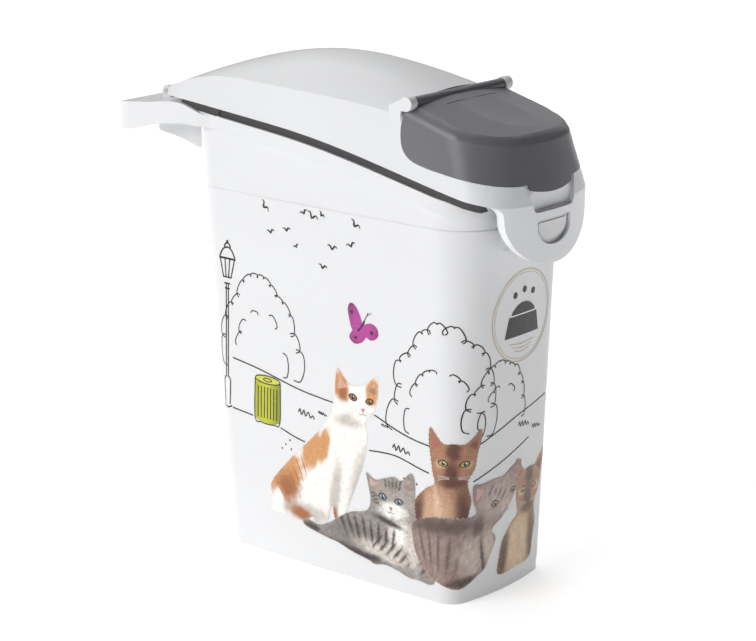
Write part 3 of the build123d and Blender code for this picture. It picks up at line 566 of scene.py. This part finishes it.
def lying_kitten(name, u, z, scale=1.0, flip=1, side=-1):
    """Grey tabby kitten that lies with its head up."""
    ink = Ink(name, side)
    place = Placer(u, z, scale, flip)
    spot, dab = place.spot, place.dab
    outline = place.line([(-78, 75), (-70, 71), (-61, 74), (-52, 77), (-45, 75.5), (-37, 83), (-33, 79),
                          (-32, 68), (-32, 58), (-30, 46), (-29, 36), (-26, 22), (-19, 12), (-12, 3),
                          (-16, -1), (-26, 0), (-36, 0), (-46, 3), (-58, 5), (-68, 3), (-74, 5),
                          (-90, 8), (-104, 12), (-118, 14), (-134, 17), (-140, 20), (-136, 24),
                          (-124, 22), (-112, 27), (-104, 33), (-92, 40), (-78, 44), (-74, 50),
                          (-74, 57), (-76, 66)])
    stripes = [dab(-100 + 7 * k, 30 - 0.4 * k + (k % 2), 1.3, 11 - 0.5 * k, 28 - 5 * k, TABBY_DARK, 0.9)
               for k in range(8)]
    bars = [dab(-66 + 6.5 * k, 22 - 1.6 * k, 1.2, 7.5, -38, TABBY_DARK, 0.9) for k in range(8)]
    cheek = [dab(-71 + 1.5 * k, 60 - 3.4 * k, 5.0, 0.8, -18, TABBY_DARK, 0.9) for k in range(3)]
    brow = [dab(-60 + 3.4 * k, 71, 0.8, 5.0, 10 - 6 * k, TABBY_DARK, 0.9) for k in range(5)]
    paint = fur(TABBY, [
        dab(-88, 22, 30, 12, -8, tone(124, 116, 110), 1.0), dab(-60, 14, 24, 7, -8, TABBY_PALE, 1.2),
        dab(-46, 30, 12, 15, -15, TABBY_PALE, 0.9), dab(-44, 33, 7, 9, -15, WHITE_FUR, 1.1),
        *stripes, *bars, dab(-34, 24, 5, 18, 15, TABBY_PALE, 1.2),
        dab(-53, 60, 22, 17, 0, tone(158, 150, 142), 0.8), dab(-52, 50, 12, 6.5, 0, WHITE_FUR, 0.8),
        *cheek, *brow, dab(-56, 40, 15, 2.2, -12, TABBY_DARK, 1.0),
        dab(-96, 10, 40, 3.0, -6, TABBY_DARK, 1.3), dab(-72, 7, 9, 3, 10, TABBY_DARK, 1.0),
        dab(-130, 19, 9, 2.6, -8, TABBY_DARK, 1.1)], lie=20 * flip, grain=0.24, seed=5)
    ink.fill(outline, paint, 3, 1.7)
    edge_fur(ink, outline, TABBY_PALE, 3, 12, 2.0 * scale)
    ear(ink, spot(-76, 73), spot(-74, 62), spot(-65, 69), tone(190, 160, 146), 4)
    ear(ink, spot(-37, 80), spot(-45, 71), spot(-35, 64), tone(190, 160, 146), 4)
    eye(ink, *spot(-62, 59), 2.6 * scale, tone(126, 146, 158), 4, -6)
    eye(ink, *spot(-47, 58), 2.6 * scale, tone(126, 146, 158), 4, 6)
    muzzle(ink, *spot(-54, 51.0), 1.8 * scale, tone(176, 120, 108), 5)
    ink.build()


def brown_kitten(name, u, z, scale=1.0, flip=1, side=-1, coat=(BROWN, BROWN_DARK, BROWN_PALE)):
    """Short-haired kitten that sits behind the others, in a middle, a dark and a pale tone."""
    fair, dark, pale = coat
    ink = Ink(name, side)
    place = Placer(u, z, scale, flip)
    spot, dab = place.spot, place.dab
    outline = place.line([(-20, 82), (-14, 76), (-9, 71), (-2, 71.5), (5, 71), (11, 76), (17, 81),
                          (17, 72), (14.5, 62), (13, 52), (8, 42), (9, 34), (11, 26), (9, 14), (6, 0),
                          (-12, -2), (-34, -2), (-34, 12), (-31, 24), (-22, 34), (-15, 39), (-17, 48),
                          (-19, 60), (-21, 72)])
    paint = fur(fair, [
        dab(-14, 14, 16, 22, 0, pale, 1.1), dab(-30, 10, 5, 20, -8, dark, 1.3),
        dab(6, 14, 5, 22, 4, dark, 1.4), dab(-12, 20, 3, 15, 8, tone(210, 174, 146), 1.0),
        dab(-2, 57, 15, 14, 0, tone(166, 118, 88), 0.9), dab(-2, 66, 5, 8, 0, dark, 1.0),
        dab(-3, 50, 5, 7, 0, dark, 1.1), dab(-2, 41, 9, 4, 0, dark, 1.2),
        dab(-11, 55, 4, 3, 0, pale, 1.0), dab(8, 55, 4, 3, 0, pale, 1.0)], lie=84 * flip, grain=0.14, seed=9)
    ink.fill(outline, paint, 1, 1.7)
    edge_fur(ink, outline, fair, 1, 13, 1.5 * scale)
    ear(ink, spot(-19, 80), spot(-19, 63), spot(-10, 70), tone(164, 96, 84), 2)
    ear(ink, spot(16.5, 79), spot(6, 70), spot(14, 62), tone(164, 96, 84), 2)
    eye(ink, *spot(-9, 56), 2.4 * scale, tone(176, 164, 96), 2, -12)
    eye(ink, *spot(5.5, 55.5), 2.4 * scale, tone(176, 164, 96), 2, 12)
    muzzle(ink, *spot(-1.5, 46.5), 1.8 * scale, tone(84, 46, 38), 3)
    ink.build()


def turning_cat(name, u, z, scale=1.0, flip=1, side=-1):
    """Grey-brown cat that sits sideways and looks over its shoulder."""
    ink = Ink(name, side)
    place = Placer(u, z, scale, flip)
    spot, dab = place.spot, place.dab
    outline = place.line([(13, 80), (20, 79), (33, 80), (44, 80), (52, 84), (64, 88), (65, 80),
                          (61, 71), (58, 62), (51, 53), (44, 47), (33, 40), (38, 32), (33, 20),
                          (27, 10), (19, 6), (12, 2), (4, -1), (-6, 2), (-19, 9), (-29, 21), (-33, 34),
                          (-33, 46), (-17, 54), (0, 56), (12, 55), (16, 58), (13, 66), (12, 74)])
    streaks = [dab(-24 + 7 * k, 30 - 1.2 * k, 0.9, 15, 14 - 6 * k, MAUVE_DARK, 1.0) for k in range(7)]
    rings = [dab(30 + 5 * k, 72 - 2 * k, 4.5, 0.7, 60, MAUVE_DARK, 1.0) for k in range(4)]
    paint = fur(MAUVE, [
        dab(-12, 48, 24, 6, 4, MAUVE_DARK, 1.4), *streaks, dab(14, 22, 10, 17, 6, MAUVE_PALE, 1.1),
        dab(31, 26, 6, 16, 10, MAUVE_PALE, 1.1), dab(19, 48, 5, 9, -30, MAUVE_DARK, 1.0),
        dab(24, 20, 1.6, 15, 10, MAUVE_DARK, 1.0), dab(8, 4, 12, 4, 8, MAUVE_DARK, 1.0),
        dab(38, 64, 21, 15, 10, tone(178, 160, 152), 0.9), *rings, dab(50, 54, 7, 6, 0, MAUVE_PALE, 1.0)],
        lie=70 * flip, grain=0.2, seed=15)
    ink.fill(outline, paint, 5, 1.7)
    edge_fur(ink, outline, MAUVE_PALE, 5, 14, 1.8 * scale)
    ear(ink, spot(14, 79), spot(14, 64), spot(25, 74), tone(206, 160, 150), 6)
    ear(ink, spot(63, 86), spot(50, 80), spot(62, 72), tone(206, 160, 150), 6)
    eye(ink, *spot(35, 60), 2.6 * scale, tone(164, 158, 104), 6, -6)
    eye(ink, *spot(56, 66), 2.2 * scale, tone(164, 158, 104), 6, 10)
    muzzle(ink, *spot(49, 55.0), 1.9 * scale, tone(196, 136, 128), 7)
    ink.build()


def print_scene():
    """Park outlines, animals and a badge on the near side and the front."""
    lines = Ink("print_park_lines", pen=1.35)
    rng = random.Random(4)
    birds = ((-183, 279, 11, -50), (-176, 260, 8, 10), (-160, 264, 8, 5), (-150, 253, 6, 30),
             (-143, 280, 8, 25), (-135, 278, 12, -25), (-126, 281, 7, -40), (-124, 241, 9, -10),
             (-115, 257, 10, -5), (-97, 262, 9, 20), (-94, 278, 11, -35))
    for u, z, size, tilt in birds:
        bird(lines, u, z, size, tilt)
    street_lamp(lines, -221, 112, 246)
    bush(lines, -186, 148, 36, 74, 21)
    bush(lines, -14, 130, 38, 82, 22, 17)
    bush(lines, 36, 136, 27, 48, 23, 13)
    lines.stroke([(-215, 153), (-186, 149), (-145, 141), (-112, 137.5)], 0.8)
    lines.stroke([(-72, 136), (-50, 128), (-34, 124), (-20, 122)], 0.8)
    lines.stroke([(-215, 112), (-193, 110)], 0.8)
    lines.stroke([(-164, 106), (-150, 102), (-139, 100)], 0.8)
    lines.stroke([(-76, 107), (-52, 108), (-30, 103), (-20, 101)], 0.8)
    lines.stroke([(16, 124), (37, 131), (60, 138), (96, 145)], 0.8)
    lines.stroke([(12, 96), (38, 104), (62, 112), (74, 116)], 0.8)
    tufts = ((-138, 122, 8), (-122, 126, 4), (-62, 129, 3), (-46, 113, 8), (66, 128, 7), (84, 122, 6))
    for u, z, size in tufts:
        tuft(lines, u, z, size)
    pebbles = ((-158, 94), (-152, 91), (-162, 90), (-42, 92), (-30, 90), (-34, 86), (14, 80), (-155, 98))
    for u, z in pebbles:
        lines.dot(u + rng.uniform(-1, 1), z, 0.8)
    lines.build()
    lane = Ink("print_waste_bin")
    waste_bin(lane, -178, 106, 13, 36)
    lane.build()
    wings = Ink("print_butterfly")
    butterfly(wings, -85, 203)
    wings.build()
    badge = Ink("print_bowl_badge")
    bowl_badge(badge, 57, 215, 35)
    badge.build()
    sitting_cat("print_sitting_cat", -128, 35)
    brown_kitten("print_brown_kitten", 0, 55)
    lying_kitten("print_lying_kitten", 0, 14)
    turning_cat("print_turning_cat", 0, 13)
    brown_kitten("print_tan_kitten", 27, 16, 1.05, -1, 1, TAN_COAT)


def print_far_side():
    """The park goes on along the far side, with two more cats."""
    lines = Ink("print_far_park_lines", 1, 1.35)
    for u, z, size, tilt in ((-58, 268, 10, 20), (-72, 255, 8, -20), (-88, 274, 9, 5), (-104, 262, 7, 30),
                             (-126, 270, 11, -15), (-140, 256, 8, 15), (-160, 272, 9, -30)):
        bird(lines, u, z, size, tilt)
    bush(lines, -98, 140, 33, 76, 31, 17)
    bush(lines, -184, 148, 27, 60, 32)
    lines.stroke([(-156, 146), (-132, 143)], 0.8)
    lines.stroke([(-12, 134), (4, 130)], 0.8)
    lines.stroke([(-198, 112), (-150, 107), (-114, 105), (-82, 105)], 0.8)
    lines.stroke([(-20, 106), (4, 101)], 0.8)
    for u, z, size in ((-128, 126, 7), (-98, 122, 5), (-176, 128, 6)):
        tuft(lines, u, z, size)
    street_lamp(lines, -144, 116, 240)
    lines.build()
    wings = Ink("print_far_butterfly", 1)
    butterfly(wings, -24, 214)
    wings.build()
    sitting_cat("print_far_sitting_cat", -74, 28, 1.0, 1, 1)
    turning_cat("print_far_turning_cat", -146, 16, 1.0, -1, 1)


print_scene()
print_far_side()


# ---------------------------------------------------------------- stage
def place_light(kind, name, place, aim, energy, **shape):
    data = bpy.data.lights.new(name, kind)
    data.energy = energy
    for key, value in shape.items():
        setattr(data, key, value)
    light = bpy.data.objects.new(name, data)
    light.location = place
    light.rotation_euler = (Vector(aim) - Vector(place)).to_track_quat("-Z", "Y").to_euler()
    bpy.context.scene.collection.objects.link(light)


def build_stage():
    mesh = bpy.data.meshes.new("floor")
    half = 12.0
    corners = [(-half, -half, 0), (half, -half, 0), (half, half, 0), (-half, half, 0)]
    mesh.from_pydata(corners, [], [(0, 1, 2, 3)])
    floor = bpy.data.objects.new("floor", mesh)
    bpy.context.scene.collection.objects.link(floor)
    g = Graph("floor_paper")
    g.set(Base_Color=g.mix(g.noise(3.0), (0.90, 0.90, 0.90), (0.92, 0.92, 0.92)))
    g.set(Roughness=0.9, Specular_IOR_Level=0.1)
    g.set(Emission_Color=(1, 1, 1), Emission_Strength=0.52)
    mesh.materials.append(g.material)
    world = bpy.data.worlds.new("studio")
    world.use_nodes = True
    backdrop = world.node_tree.nodes["Background"]
    backdrop.inputs["Color"].default_value = (1, 1, 1, 1)
    backdrop.inputs["Strength"].default_value = 0.10
    bpy.context.scene.world = world
    bpy.context.scene.view_settings.view_transform = "Standard"
    place_light("SUN", "key_light", (-2.3, 0.9, 1.2), (0, 0, 0), 1.8, angle=math.radians(40))
    place_light("SUN", "top_light", (0.2, 1.2, 2.0), (0, 0, 0), 1.15, angle=math.radians(60))
    place_light("SUN", "sheen_light", (1.5, 0.75, 1.1), (0, 0, 0), 0.5, angle=math.radians(60))
    place_light("AREA", "corner_softbox", (-1.3, -2.2, 1.1), (0, -0.1, 0.25), 0.3, shape="SQUARE", size=0.5)


def build_camera():
    azimuth, elevation, roll = math.radians(-50.9), math.radians(15.5), math.radians(0.4)
    data = bpy.data.cameras.new("camera")
    data.sensor_width = 36.0
    data.lens = 116.7
    data.clip_start = 0.05
    camera = bpy.data.objects.new("camera", data)
    back = Vector((math.sin(azimuth) * math.cos(elevation), -math.cos(azimuth) * math.cos(elevation),
                   math.sin(elevation)))
    camera.location = (-1.4056, -1.1259, 0.6893)
    turn = (-back).to_track_quat("-Z", "Y").to_matrix() @ Matrix.Rotation(roll, 3, "Z")
    camera.rotation_euler = turn.to_euler()
    bpy.context.scene.collection.objects.link(camera)
    bpy.context.scene.camera = camera


build_stage()
build_camera()
